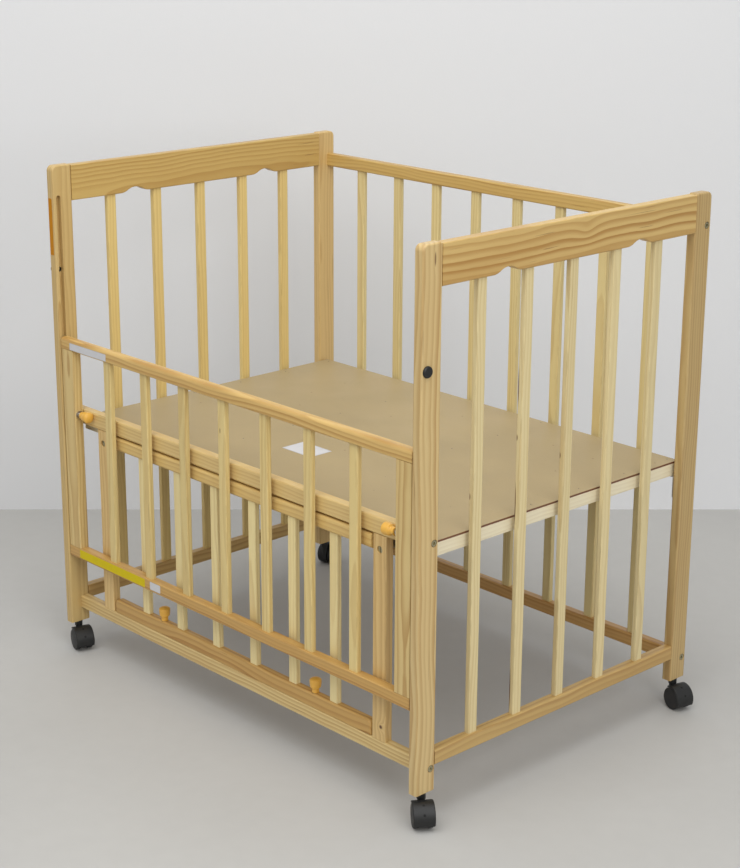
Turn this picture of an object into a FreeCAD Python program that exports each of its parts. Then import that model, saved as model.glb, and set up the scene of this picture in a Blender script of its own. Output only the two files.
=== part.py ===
import FreeCAD, Part
import math
import os
from FreeCAD import Vector

# A small drop-side baby crib on casters, in millimetres. +X is to the right, -Y to the front where
# the gate drops, and +Z up. The origin is on the floor below the middle of the frame.

# Overall frame
LENGTH = 940.0               # over the outer faces of the posts
DEPTH = 663.0                # from the front of the front posts to the back of the back posts
POST_LENGTH = 861.0
POST_THICK = 18.0            # along X
POST_WIDE = 40.0             # along Y
POST_EDGE = 3.0
POST_OUTER_CORNER = 10.0
POST_INNER_CORNER = 4.0
RAIL_THICK = 18.0
RAIL_EDGE = 3.0

# Slats, whose tenons sit in mortises in their rails
SLAT_WIDE = 19.0
SLAT_THICK = 10.0
SLAT_EDGE = 2.0
TENON = 8.0
TENON_SHOULDER = 2.0

# End panels
END_TOP_HEIGHT = 63.0
END_TOP_DROP = 2.0           # below the top of the posts
END_FOOT_HEIGHT = 25.0
END_FOOT_RISE = 41.0         # above the bottom of the posts
END_SLATS = 5
END_PITCH = 102.0
ARCH_LENGTH = 64.0
ARCH_HEIGHT = 9.0
ARCH_EDGE = 2.0
DOWEL_RADIUS = 4.0
DOWEL_LENGTH = 40.0
DOWEL_INSET = 16.0           # from the edges of the end top rail
JAMB_DOWEL_LENGTH = 30.0

# Back panel
BACK_INSET = 1.0             # of the rails from the back of the posts
BACK_RAIL_HEIGHT = 24.5
BACK_TOP_DROP = 43.0         # below the top of the posts
BACK_SLATS = 8

# Fixed front frame
FRONT_INSET = 22.0           # from the front of the posts, behind the gate
MID_RAIL_HEIGHT = 28.0
MID_RAIL_RISE = 394.0
FOOT_RAIL_HEIGHT = 24.5
FOOT_RAIL_RISE = 25.5        # front and back bottom rails
JAMB_WIDE = 30.0
JAMB_THICK = 15.5
JAMB_END_INSET = 75.5        # from the posts' inner faces
JAMB_INSET = 22.5            # from the front of the posts

# Hinged door in the lower front
DOOR_SIDE_GAP = 3.5
DOOR_TOP_GAP = 3.5
DOOR_FOOT_GAP = 1.0
DOOR_TOP_HEIGHT = 24.0
DOOR_TOP_EDGE = 5.0
DOOR_BEAM_HEIGHT = 24.5
DOOR_BEAM_THICK = 16.0
DOOR_BEAM_CORNER = 8.0
DOOR_BEAM_EDGE = 4.0
DOOR_SLATS = 6
PIVOT_RADIUS = 3.0
PIVOT_IN_JAMB = 9.0
PIVOT_IN_DOOR = 25.0
PIVOT_END_GAP = 0.3
LIFT_PIN_ASIDE = 1.5         # of the lift pins, outwards from the middle of their gap between slats
LIFT_TRAVEL = 5.0

# Drop gate, which slides on pins in the front posts' grooves
GATE_INSET = 2.0             # from the front of the posts
GATE_SIDE_GAP = 2.0
GATE_THICK = 18.0
GATE_RAIL_HEIGHT = 21.0
GATE_HEIGHT = 416.8
GATE_RISE = 137.7            # of its underside above the bottom of the posts, when it is down
GATE_TRAVEL = 260.0
GATE_TOP_EDGE = 6.0
GATE_EDGE = 2.0
STILE_WIDE = 34.0
GATE_SLATS = 7
GUIDE_RADIUS = 4.0
GUIDE_IN_RAIL = 25.0
GROOVE_RADIUS = 4.5
GROOVE_DEEP = 8.0
GROOVE_END_GAP = 0.3
GUIDE_TIP_GAP = 0.5

# Spring plungers that hold the gate, and the bushes that catch them in the posts
PLUNGER_RISE = 277.3         # above the underside of the gate
PLUNGER_STANDOFF = 6.0       # of the knob from its bush, with the tip on the groove's floor
PLUNGER_BUSH_RADIUS = 5.0
PLUNGER_FLANGE_RADIUS = 7.0
PLUNGER_FLANGE = 2.0
CATCH_SLEEVE_RADIUS = 5.0
CATCH_DOME_RADIUS = 9.0
CATCH_DOME = 4.0
CATCH_CROWN = 1.5

# Pins and knobs of the plungers and of the door's lift pins
PIN_RADIUS = 3.5
PIN_TIP = 1.0
PIN_IN_KNOB = 20.0
KNOB_LENGTH = 26.0
KNOB_NECK_RADIUS = 6.2
KNOB_WAIST = 5.8             # height of the straight neck
KNOB_FLARE = (8.0, 8.8)      # radius and height of the flare's end, below a small step
KNOB_STEP = (9.1, 9.6)       # radius and height of the step's end, where the tapered head starts
KNOB_HEAD_RADIUS = 10.0
KNOB_SHOULDER = 17.0         # height of the taper's end
KNOB_DOME = 3.6
KNOB_EDGE = 2.0
RUNNING_FIT = 0.05           # radial, pins and axles in their bores
LOOSE_FIT = 0.3              # radial, pins in sockets and knobs in recesses

# Frame bolts and barrel nuts
BOLT_RADIUS = 3.0
BOLT_LENGTH = 50.0
BOLT_HEAD_RADIUS = 5.0
BOLT_HEAD = 4.0
BOLT_SINK = 4.3              # depth of the head's seat
BOLT_RECESS_RADIUS = 6.0
BOLT_KEY_RADIUS = 2.6        # over the corners of the hexagon socket
BOLT_KEY_DEEP = 2.5
BOLT_HOLE_RADIUS = 3.25
NUT_RADIUS = 6.0
NUT_IN_RAIL = 24.0           # from the rail's end to the nut's axis
NUT_LENGTH = 12.0
NUT_SINK = 2.0               # of the nut's open end below the wood
NUT_SLOT = 1.5               # width of the screwdriver slot
NUT_SLOT_DEEP = 1.2
STUD_LENGTH = 52.0
STUD_IN_RAIL = 18.0          # of the headless studs at the top of the jambs

# Bed base
BED_GAP = 4.5                # to the posts at each end
BED_FRONT = 45.0             # from the front of the posts
BED_BACK = 23.0              # from the back of the posts
BED_TOP = 399.5              # above the bottom of the posts
BED_BOARD = 3.5
BED_RAIL_HEIGHT = 21.5
BED_RAIL_THICK = 20.0
BED_CROSS_THICK = 30.0
BED_CROSS_RAILS = 4
BED_EDGE = 1.5
BRACKET_THICK = 2.0
BRACKET_LONG = 36.0
BRACKET_LEDGE = 26.0
BRACKET_LEG = 36.0
BRACKET_ASIDE = 3.0          # middle of the front brackets, outwards from the jambs' middles
BRACKET_BACK_INSET = 20.0    # middle of the back brackets, from the back of the posts
SCREW_RADIUS = 1.8
SCREW_LENGTH = 12.0
SCREW_HEAD_RADIUS = 4.0
SCREW_CROWN_RADIUS = 2.8
SCREW_HEAD = 1.8
SCREW_SPACING = 20.0
SCREW_DROP = 8.0             # below the top of the bracket

# Twin-wheel casters
CASTER_HEIGHT = 52.0
CASTER_Y = 20.0              # from the front or back of the posts
CASTER_TRAIL = 16.5
CASTER_ANGLES = {            # direction of each caster's trail, from +X
    "left_front": -16.1,
    "left_back": 109.0,
    "right_front": -35.6,
    "right_back": -14.3,
}
WHEEL_RADIUS = 20.0
TWIN_WIDTH = 35.0
WHEEL_WIDTH = 11.0
WHEEL_GAP = 0.3              # from the wheels to the core
WHEEL_CROWN = 1.5
WHEEL_DOME = 1.2
AXLE_RADIUS = 2.5
AXLE_COVER = 2.5             # of the wheels' closed faces over the axle's ends
CORE_RADIUS = 11.0
BOSS_RADIUS = 6.0            # between the wheels
COLLAR_RADIUS = 7.2          # above the wheels
COLLAR_RISE = 40.5
HOOD_GAP = 1.0
HOOD_THICK = 2.3
HOOD_EDGE = 1.2
HOOD_START = -25.0           # degrees above the level, on the trailing side
HOOD_SWEEP = 137.0
WEB_SWEEP = 165.0
STEM_RADIUS = 4.0
STEM_LENGTH = 38.0
SOCKET_RADIUS = 5.5
SOCKET_FLANGE_RADIUS = 7.2
SOCKET_FLANGE = 1.5
CASTER_TOP_GAP = 0.3

# Places that follow from the sizes
HALF = LENGTH / 2
INNER = HALF - POST_THICK
FRONT = -DEPTH / 2
BACK = DEPTH / 2
FOOT = CASTER_HEIGHT
POST_TOP = FOOT + POST_LENGTH
POST_X = HALF - POST_THICK / 2
RAIL_FRONT = FRONT + FRONT_INSET
MID_RAIL = (FOOT + MID_RAIL_RISE, FOOT + MID_RAIL_RISE + MID_RAIL_HEIGHT)
FOOT_RAIL = (FOOT + FOOT_RAIL_RISE, FOOT + FOOT_RAIL_RISE + FOOT_RAIL_HEIGHT)
BACK_TOP_RAIL = (POST_TOP - BACK_TOP_DROP - BACK_RAIL_HEIGHT, POST_TOP - BACK_TOP_DROP)
BACK_RAIL_Y = (BACK - BACK_INSET - RAIL_THICK, BACK - BACK_INSET)
END_RAIL_Y = (FRONT + POST_WIDE, BACK - POST_WIDE)
END_TOP = (POST_TOP - END_TOP_DROP - END_TOP_HEIGHT, POST_TOP - END_TOP_DROP)
END_FOOT = (FOOT + END_FOOT_RISE, FOOT + END_FOOT_RISE + END_FOOT_HEIGHT)
RAIL_BOLT_Y = RAIL_FRONT + RAIL_THICK / 2
JAMB_X = INNER - JAMB_END_INSET - JAMB_WIDE / 2
JAMB_Y = (FRONT + JAMB_INSET, FRONT + JAMB_INSET + JAMB_THICK)
DOOR_HALF = JAMB_X - JAMB_WIDE / 2 - DOOR_SIDE_GAP
LIFT_PIN_X = 2 * (2 * DOOR_HALF + SLAT_WIDE) / (DOOR_SLATS + 1) + LIFT_PIN_ASIDE
DOOR_TOP = (MID_RAIL[0] - DOOR_TOP_GAP - DOOR_TOP_HEIGHT, MID_RAIL[0] - DOOR_TOP_GAP)
DOOR_BEAM = (FOOT_RAIL[1] + DOOR_FOOT_GAP, FOOT_RAIL[1] + DOOR_FOOT_GAP + DOOR_BEAM_HEIGHT)
DOOR_Y = RAIL_FRONT + RAIL_THICK / 2
DOOR_AXIS_Z = sum(DOOR_TOP) / 2
GATE_HALF = INNER - GATE_SIDE_GAP
GATE_Y = FRONT + GATE_INSET + GATE_THICK / 2
GATE_FOOT = FOOT + GATE_RISE
GATE_TOP = GATE_FOOT + GATE_HEIGHT
GUIDE_HEIGHTS = (GATE_FOOT + GATE_RAIL_HEIGHT / 2, GATE_TOP - GATE_RAIL_HEIGHT / 2)
PLUNGER_Z = GATE_FOOT + PLUNGER_RISE
STILE_INNER = GATE_HALF - STILE_WIDE
BED_UNDER = FOOT + BED_TOP - BED_BOARD - BED_RAIL_HEIGHT
BED_HALF = INNER - BED_GAP
BED_Y = (FRONT + BED_FRONT, BACK - BED_BACK)

TINY = 1e-6
X, Y, Z = Vector(1, 0, 0), Vector(0, 1, 0), Vector(0, 0, 1)


# ---- Shapes used by several pieces ----

def about(centre, width):
    """The (low, high) span of a width about its centre."""
    return (centre - width / 2, centre + width / 2)


def block(x, y, z):
    """A box between three (low, high) spans."""
    return Part.makeBox(x[1] - x[0], y[1] - y[0], z[1] - z[0], Vector(x[0], y[0], z[0]))


def rod(start, direction, radius, length):
    """A round bar from a start point along a direction."""
    return Part.makeCylinder(radius, length, Vector(*start), direction)


def placed(shape, start, direction):
    """A shape built up the Z axis, moved to a start point and turned along a direction."""
    moved = shape.copy()
    moved.Placement = FreeCAD.Placement(Vector(*start), FreeCAD.Rotation(Z, direction))
    return moved


def other_side(shape):
    """The mirror image at the other end of the crib."""
    return shape.mirror(Vector(0, 0, 0), X)


def both_sides(shape):
    return [shape, other_side(shape)]


def to_back(shape):
    """The mirror image at the back of the crib."""
    return shape.mirror(Vector(0, 0, 0), Y)


def straight(points):
    """Straight edges through (r, z) points."""
    corners = [Vector(r, 0, z) for r, z in points]
    return [Part.makeLine(first, second) for first, second in zip(corners, corners[1:])]


def leaving(start, direction, end):
    """The arc from start to end that leaves its start along a direction."""
    chord = end - start
    lean = direction.getAngle(chord)
    aside = direction * chord.Length - chord * math.cos(lean)
    return Part.Arc(start, (start + end + aside * (math.tan(lean / 2) / math.sin(lean))) / 2, end).toShape()


def turned(outline):
    """A solid turned about the Z axis from a closed outline in the XZ plane."""
    return Part.Face(Part.Wire(outline)).revolve(Vector(0, 0, 0), Z, 360)


def along(shape, axis):
    """The straight edges of a shape that run along an axis."""
    lines = [edge for edge in shape.Edges if isinstance(edge.Curve, Part.Line)]
    return [edge for edge in lines if abs(edge.Curve.Direction.dot(axis)) > 1 - TINY]


def eased(shape, axis, radius):
    """A shape with its straight edges along an axis rounded."""
    return shape.makeFillet(radius, along(shape, axis))


def upright_slat(x, y, z, wide, thick):
    """A slat with rounded edges from rail to rail, and a square tenon at each end."""
    body = eased(block(about(x, wide), about(y, thick), z), Z, SLAT_EDGE)
    core_x, core_y = about(x, wide - 2 * TENON_SHOULDER), about(y, thick - 2 * TENON_SHOULDER)
    return body.fuse(block(core_x, core_y, (z[0] - TENON, z[1] + TENON))).removeSplitter()


def spread(count, pitch):
    """Places of equal pitch about 0."""
    return [(place - (count - 1) / 2) * pitch for place in range(count)]


def between(count, half_width):
    """Places of a number of slats with equal gaps between two uprights."""
    return spread(count, (2 * half_width + SLAT_WIDE) / (count + 1))


def pierced(shape, tools):
    """A shape with holes for all the tools."""
    return shape.cut(tools) if tools else shape


# ---- Fasteners ----

def bolt(start, direction):
    """A socket bolt with its head seated at the start."""
    shank = Part.makeCylinder(BOLT_RADIUS, BOLT_LENGTH)
    head = Part.makeCylinder(BOLT_HEAD_RADIUS, BOLT_HEAD, Vector(0, 0, -BOLT_HEAD))
    corners = [Vector(BOLT_KEY_RADIUS, 0, -BOLT_HEAD)]
    for side in range(6):
        angle = math.radians(60 * (side + 1))
        across, aside = BOLT_KEY_RADIUS * math.cos(angle), BOLT_KEY_RADIUS * math.sin(angle)
        corners.append(Vector(across, aside, -BOLT_HEAD))
    corners[-1] = corners[0]
    key = Part.Face(Part.makePolygon(corners)).extrude(Z * BOLT_KEY_DEEP)
    return placed(shank.fuse(head).removeSplitter().cut(key), start, direction)


def bolt_hole(start, direction):
    """The hole for a bolt, with the recess for its head."""
    shank = Part.makeCylinder(BOLT_HOLE_RADIUS, BOLT_LENGTH + BOLT_SINK)
    recess = Part.makeCylinder(BOLT_RECESS_RADIUS, 2 * BOLT_SINK, Vector(0, 0, -2 * BOLT_SINK))
    return placed(shank.fuse(recess), start, direction)


def barrel_nut(start, direction, along_bolt):
    """A cross-bored barrel nut from its slotted end; the slot runs along its bolt."""
    slot = block(about(0, NUT_SLOT), about(0, 3 * NUT_RADIUS), (0, NUT_SLOT_DEEP))
    turn = FreeCAD.Rotation(along_bolt.cross(direction), along_bolt, direction, "ZXY")
    slot.Placement = FreeCAD.Placement(start, turn)
    return rod(start, direction, NUT_RADIUS, NUT_LENGTH).cut(slot)


class Joint:
    """A bolt through one piece into a barrel nut in the next."""

    def __init__(self, fastener, hole, line, nut_centre, nut_direction, nut_depth):
        face = Vector(*nut_centre) - nut_direction * nut_depth
        self.bolt = fastener
        self.hole = hole
        self.nut_hole = rod(face, nut_direction, NUT_RADIUS, NUT_SINK + NUT_LENGTH)
        self.nut = barrel_nut(face + nut_direction * NUT_SINK, nut_direction, line).cut(fastener)


def post_joint(y, z):
    """A bolt through a right-hand post into a rail that runs along X."""
    seat = (HALF - BOLT_SINK, y, z)
    return Joint(bolt(seat, -X), bolt_hole(seat, -X), X, (INNER - NUT_IN_RAIL, y, z), -Y, RAIL_THICK / 2)


def jamb_joint():
    """A headless stud from the front middle rail into the top of the right-hand jamb."""
    y = sum(JAMB_Y) / 2
    stud = rod((JAMB_X, y, MID_RAIL[0] + STUD_IN_RAIL), -Z, BOLT_RADIUS, STUD_LENGTH)
    hole = rod((JAMB_X, y, MID_RAIL[0]), -Z, BOLT_HOLE_RADIUS, STUD_LENGTH)
    return Joint(stud, hole, Z, (JAMB_X, y, MID_RAIL[0] - NUT_IN_RAIL), Y, JAMB_THICK / 2)


def frame_joints():
    """The bolted joints of the right-hand half of the frame."""
    back_y = BACK - BACK_INSET - RAIL_THICK / 2
    return {
        "mid": post_joint(RAIL_BOLT_Y, sum(MID_RAIL) / 2),
        "front_foot": post_joint(RAIL_BOLT_Y, sum(FOOT_RAIL) / 2),
        "back_top": post_joint(back_y, sum(BACK_TOP_RAIL) / 2),
        "back_foot": post_joint(back_y, sum(FOOT_RAIL) / 2),
    }


JAMB_JOINT = jamb_joint()
JOINTS = frame_joints()


def cuts_for(names):
    """The holes that the named joints make, at both ends of the crib."""
    holes = [hole for name in names for hole in (JOINTS[name].hole, JOINTS[name].nut_hole)]
    return [side for hole in holes for side in both_sides(hole)]


# ---- End panels ----

def end_dowels():
    """The dowels of the right-hand end's front joints, and their copies at the back."""
    heights = [END_TOP[0] + DOWEL_INSET, END_TOP[1] - DOWEL_INSET, sum(END_FOOT) / 2]
    start_y = END_RAIL_Y[0] - DOWEL_LENGTH / 2
    front = [rod((POST_X, start_y, height), Y, DOWEL_RADIUS, DOWEL_LENGTH) for height in heights]
    return front + [to_back(dowel) for dowel in front]


def jamb_dowel():
    """The dowel between the right-hand jamb and the front bottom rail."""
    start = (JAMB_X, sum(JAMB_Y) / 2, FOOT_RAIL[1] - JAMB_DOWEL_LENGTH / 2)
    return rod(start, Z, DOWEL_RADIUS, JAMB_DOWEL_LENGTH)


def post_blank():
    """The right front post, with rounded top corners and long edges."""
    bar = block((INNER, HALF), (FRONT, FRONT + POST_WIDE), (FOOT, POST_TOP))
    top = [edge for edge in along(bar, X) if edge.BoundBox.ZMin > POST_TOP - TINY]
    outer = [edge for edge in top if edge.BoundBox.YMax < FRONT + POST_WIDE / 2]
    bar = bar.makeFillet(POST_OUTER_CORNER, outer)
    top = [edge for edge in along(bar, X) if edge.BoundBox.ZMin > POST_TOP - TINY]
    inner = [edge for edge in top if edge.BoundBox.YMin > FRONT + POST_WIDE - TINY]
    bar = bar.makeFillet(POST_INNER_CORNER, inner)
    rims = [edge for edge in bar.Edges if edge.BoundBox.XLength < TINY and edge.BoundBox.ZMax > FOOT + 1]
    return bar.makeFillet(POST_EDGE, rims)


def caster_socket():
    """The sleeve and flange that hold the right front caster's stem."""
    middle = (POST_X, FRONT + CASTER_Y, FOOT)
    sleeve = rod(middle, Z, SOCKET_RADIUS, STEM_LENGTH)
    flange = rod(middle, -Z, SOCKET_FLANGE_RADIUS, SOCKET_FLANGE)
    bore = rod(Vector(*middle) - Z * SOCKET_FLANGE, Z, STEM_RADIUS + RUNNING_FIT, STEM_LENGTH + SOCKET_FLANGE)
    return sleeve.fuse(flange).removeSplitter().cut(bore)


def socket_hole():
    return rod((POST_X, FRONT + CASTER_Y, FOOT), Z, SOCKET_RADIUS, STEM_LENGTH)


def groove():
    """The blind groove for the gate's guide pins, with round ends that stop them."""
    low = GUIDE_HEIGHTS[0] - GUIDE_RADIUS - GROOVE_END_GAP + GROOVE_RADIUS
    high = GUIDE_HEIGHTS[1] + GATE_TRAVEL + GUIDE_RADIUS + GROOVE_END_GAP - GROOVE_RADIUS
    slot = block((INNER, INNER + GROOVE_DEEP), about(GATE_Y, 2 * GROOVE_RADIUS), (low, high))
    ends = [rod((INNER, GATE_Y, height), X, GROOVE_RADIUS, GROOVE_DEEP) for height in (low, high)]
    return slot.fuse(ends)


def catch_bush():
    """The domed bush in the right front post that catches the plunger when the gate is up."""
    centre = (INNER + GROOVE_DEEP, GATE_Y, PLUNGER_Z + GATE_TRAVEL)
    sleeve = rod(centre, X, CATCH_SLEEVE_RADIUS, POST_THICK - GROOVE_DEEP)
    bore = rod(centre, X, PIN_RADIUS + LOOSE_FIT, POST_THICK - GROOVE_DEEP)
    rim = Vector(HALF, GATE_Y, PLUNGER_Z + GATE_TRAVEL)
    dome = rod(rim, X, CATCH_DOME_RADIUS, CATCH_DOME)
    crown = [edge for edge in dome.Edges if edge.BoundBox.XMin > HALF + CATCH_DOME - TINY]
    dome = dome.makeFillet(CATCH_DOME - CATCH_CROWN, crown)
    return sleeve.fuse(dome).removeSplitter().cut(bore)


def catch_hole():
    centre = (INNER, GATE_Y, PLUNGER_Z + GATE_TRAVEL)
    return rod(centre, X, CATCH_SLEEVE_RADIUS, POST_THICK)


def front_post():
    holes = [JOINTS["mid"].hole, JOINTS["front_foot"].hole, groove(), catch_hole(), socket_hole()]
    return pierced(post_blank(), holes + end_dowels())


def back_post():
    holes = [JOINTS["back_top"].hole, JOINTS["back_foot"].hole]
    screws = [at_back(one) for one in bracket_screws()]
    return pierced(to_back(post_blank()), holes + [to_back(socket_hole())] + end_dowels() + screws)


def ogee(start, end):
    """Two equal tangent arcs from start to end in a plane across X, level at both ends."""
    middle = (start + end) / 2
    return [leaving(start, Y, middle), leaving(end, -Y, middle)]


def end_top_rail():
    """The wide right-hand end rail, with two ogee arches in its lower edge."""
    low, high = END_TOP
    corners = [Vector(INNER, END_RAIL_Y[1], low), Vector(INNER, END_RAIL_Y[1], high)]
    corners += [Vector(INNER, END_RAIL_Y[0], high), Vector(INNER, END_RAIL_Y[0], low)]
    edges = [Part.makeLine(first, second) for first, second in zip(corners, corners[1:])]
    reached = corners[-1]
    for side in (-1, 1):
        centre = side * (END_SLATS - 2) / 2 * END_PITCH
        foot, far = about(centre, ARCH_LENGTH)
        start, end = Vector(INNER, foot, low), Vector(INNER, far, low)
        top = Vector(INNER, centre, low + ARCH_HEIGHT)
        edges += [Part.makeLine(reached, start)] + ogee(start, top) + ogee(top, end)
        reached = end
    edges.append(Part.makeLine(reached, corners[0]))
    bar = Part.Face(Part.Wire(edges)).extrude(X * POST_THICK)
    rims = [edge for edge in bar.Edges if edge.BoundBox.XLength < TINY and edge.BoundBox.YLength > TINY]
    return bar.makeFillet(ARCH_EDGE, rims)


def end_slats():
    reach = (END_FOOT[1], END_TOP[0])
    return [upright_slat(POST_X, y, reach, SLAT_THICK, SLAT_WIDE) for y in spread(END_SLATS, END_PITCH)]


def end_foot_rail():
    bar = eased(block((INNER, HALF), END_RAIL_Y, END_FOOT), Y, RAIL_EDGE)
    return pierced(bar, end_slats() + end_dowels())


# ---- Back panel ----

def back_slats():
    reach = (FOOT_RAIL[1], BACK_TOP_RAIL[0])
    y = sum(BACK_RAIL_Y) / 2
    return [upright_slat(x, y, reach, SLAT_WIDE, SLAT_THICK) for x in between(BACK_SLATS, INNER)]


def long_rail(y, z, inserts, joints):
    """A rail between the posts, with mortises for what is let into it and holes for bolts and nuts."""
    bar = eased(block((-INNER, INNER), y, z), X, RAIL_EDGE)
    return pierced(bar, inserts + cuts_for(joints))


# ---- Fixed front frame and bed base ----

def jamb():
    """The right-hand jamb, with the bearing hole for the door's pivot pin."""
    bar = eased(block(about(JAMB_X, JAMB_WIDE), JAMB_Y, (FOOT_RAIL[1], MID_RAIL[0])), Z, SLAT_EDGE)
    bearing = rod((JAMB_X - JAMB_WIDE / 2, DOOR_Y, DOOR_AXIS_Z), X, PIVOT_RADIUS + RUNNING_FIT,
                  PIVOT_IN_JAMB + PIVOT_END_GAP)
    return pierced(bar, [bearing, JAMB_JOINT.hole, JAMB_JOINT.nut_hole, jamb_dowel()])


def lift_sockets():
    """The holes in the front bottom rail that the door's lift pins drop into."""
    depth = LIFT_TRAVEL + PIN_TIP
    hole = rod((LIFT_PIN_X, DOOR_Y, FOOT_RAIL[1] - depth), Z, PIN_RADIUS + LOOSE_FIT, depth)
    return both_sides(hole)


def bed_long_rails():
    """The front and back rails of the bed frame."""
    z = (BED_UNDER, BED_UNDER + BED_RAIL_HEIGHT)
    front = eased(block((-BED_HALF, BED_HALF), (BED_Y[0], BED_Y[0] + BED_RAIL_THICK), z), X, BED_EDGE)
    back = eased(block((-BED_HALF, BED_HALF), (BED_Y[1] - BED_RAIL_THICK, BED_Y[1]), z), X, BED_EDGE)
    return [front, back]


def bed_cross_rails():
    """The rails across the bed frame, between its long rails."""
    y = (BED_Y[0] + BED_RAIL_THICK, BED_Y[1] - BED_RAIL_THICK)
    z = (BED_UNDER, BED_UNDER + BED_RAIL_HEIGHT)
    pitch = (2 * BED_HALF - BED_CROSS_THICK) / (BED_CROSS_RAILS - 1)
    return [block(about(x, BED_CROSS_THICK), y, z) for x in spread(BED_CROSS_RAILS, pitch)]


def bed_board():
    z = (BED_UNDER + BED_RAIL_HEIGHT, FOOT + BED_TOP)
    return block((-BED_HALF, BED_HALF), BED_Y, z)


def screw(start, direction):
    """A pan-head screw with its head seated at the start."""
    shank = Part.makeCylinder(SCREW_RADIUS, SCREW_LENGTH)
    head = Part.makeCone(SCREW_CROWN_RADIUS, SCREW_HEAD_RADIUS, SCREW_HEAD, Vector(0, 0, -SCREW_HEAD))
    return placed(shank.fuse(head).removeSplitter(), start, direction)


def bracket():
    """An angle bracket with its corner edge on the origin, its leg up Z and its ledge along Y."""
    leg = block(about(0, BRACKET_LONG), (0, BRACKET_THICK), (-BRACKET_THICK, BRACKET_LEG))
    ledge = block(about(0, BRACKET_LONG), (0, BRACKET_LEDGE), (-BRACKET_THICK, 0))
    return leg.fuse(ledge).removeSplitter()


def bracket_screws():
    height = BRACKET_LEG - SCREW_DROP
    return [screw((x, BRACKET_THICK, height), -Y) for x in about(0, SCREW_SPACING)]


def at_front(shape):
    """A bracket or its screw moved to the back face of the front middle rail, at the right."""
    moved = shape.copy()
    seat = Vector(JAMB_X + BRACKET_ASIDE, RAIL_FRONT + RAIL_THICK, BED_UNDER)
    moved.Placement = FreeCAD.Placement(seat, FreeCAD.Rotation()).multiply(shape.Placement)
    return moved


def at_back(shape):
    """A bracket or its screw moved to the inner face of the right back post, with its leg down."""
    moved = shape.copy()
    seat = Vector(INNER, BACK - BRACKET_BACK_INSET, BED_UNDER - BRACKET_THICK)
    turn = FreeCAD.Rotation(Z, 90).multiply(FreeCAD.Rotation(Y, 180))
    moved.Placement = FreeCAD.Placement(seat, turn).multiply(shape.Placement)
    return moved


def on_all_seats(shape):
    """Copies of a bracket or screw on the four seats of the bed."""
    return both_sides(at_front(shape)) + both_sides(at_back(shape))


# ---- Knobs and pins ----

def knob():
    """A turned knob up Z from its neck, with a flare, a small step, a tapered head and a low dome."""
    rim, neck = KNOB_LENGTH - KNOB_DOME, (KNOB_NECK_RADIUS, KNOB_WAIST)
    shoulder, edge = (KNOB_HEAD_RADIUS, KNOB_SHOULDER), (KNOB_HEAD_RADIUS, rim)
    outline = straight([(0, KNOB_LENGTH), (0, 0), (KNOB_NECK_RADIUS, 0), neck])
    outline.append(leaving(Vector(neck[0], 0, neck[1]), Z, Vector(KNOB_FLARE[0], 0, KNOB_FLARE[1])))
    outline += straight([KNOB_FLARE, KNOB_STEP, shoulder, edge])
    outline.append(leaving(Vector(0, 0, KNOB_LENGTH), X, Vector(edge[0], 0, edge[1])))
    shape = turned(outline)
    level = [side for side in shape.Edges if side.BoundBox.ZLength < TINY]
    return shape.makeFillet(KNOB_EDGE, [side for side in level if abs(side.BoundBox.ZMin - rim) < TINY])


def pin(length):
    """A pin down from PIN_IN_KNOB inside its knob, with a chamfered tip."""
    bar = Part.makeCylinder(PIN_RADIUS, length, Vector(0, 0, PIN_IN_KNOB - length))
    tip = [edge for edge in bar.Edges if edge.BoundBox.ZMax < PIN_IN_KNOB - length + TINY]
    return bar.makeChamfer(PIN_TIP, tip)


def knob_and_pin(start, direction, reach):
    """A bored knob with its neck at the start, and the pin that reaches on out of it."""
    shaft = pin(PIN_IN_KNOB + reach)
    return placed(knob().cut(shaft), start, direction), placed(shaft, start, direction)


# ---- Drop gate ----

def gate_rail(z, top_edge, slats):
    """A rail over the whole width of the gate, with bores for its guide pins."""
    bar = block((-GATE_HALF, GATE_HALF), about(GATE_Y, GATE_THICK), z)
    high = [edge for edge in along(bar, X) if edge.BoundBox.ZMin > z[1] - TINY]
    bar = bar.makeFillet(top_edge, high)
    low = [edge for edge in along(bar, X) if edge.BoundBox.ZMax < z[0] + TINY]
    bar = bar.makeFillet(GATE_EDGE, low)
    return pierced(bar, slats + guide_pins())


def guide_pins():
    start = GATE_HALF - GUIDE_IN_RAIL
    length = INNER + GROOVE_DEEP - GUIDE_TIP_GAP - start
    right = [rod((start, GATE_Y, height), X, GUIDE_RADIUS, length) for height in GUIDE_HEIGHTS]
    return right + [other_side(one) for one in right]


def gate_slats():
    reach = (GATE_FOOT + GATE_RAIL_HEIGHT, GATE_TOP - GATE_RAIL_HEIGHT)
    places = between(GATE_SLATS, STILE_INNER)
    return [upright_slat(x, GATE_Y, reach, SLAT_WIDE, SLAT_THICK) for x in places]


def plunger_bush():
    """The flanged bush through the right-hand stile."""
    centre = (STILE_INNER, GATE_Y, PLUNGER_Z)
    sleeve = rod(centre, X, PLUNGER_BUSH_RADIUS, STILE_WIDE)
    flange = rod(centre, -X, PLUNGER_FLANGE_RADIUS, PLUNGER_FLANGE)
    bore = rod(Vector(*centre) - X * PLUNGER_FLANGE, X, PIN_RADIUS + RUNNING_FIT, STILE_WIDE + PLUNGER_FLANGE)
    return sleeve.fuse(flange).removeSplitter().cut(bore)


def stile():
    """The right-hand stile, bored for its plunger bush."""
    bar = block((STILE_INNER, GATE_HALF), about(GATE_Y, GATE_THICK),
                (GATE_FOOT + GATE_RAIL_HEIGHT, GATE_TOP - GATE_RAIL_HEIGHT))
    hole = rod((STILE_INNER, GATE_Y, PLUNGER_Z), X, PLUNGER_BUSH_RADIUS, STILE_WIDE)
    return pierced(eased(bar, Z, GATE_EDGE), [hole])


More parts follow.
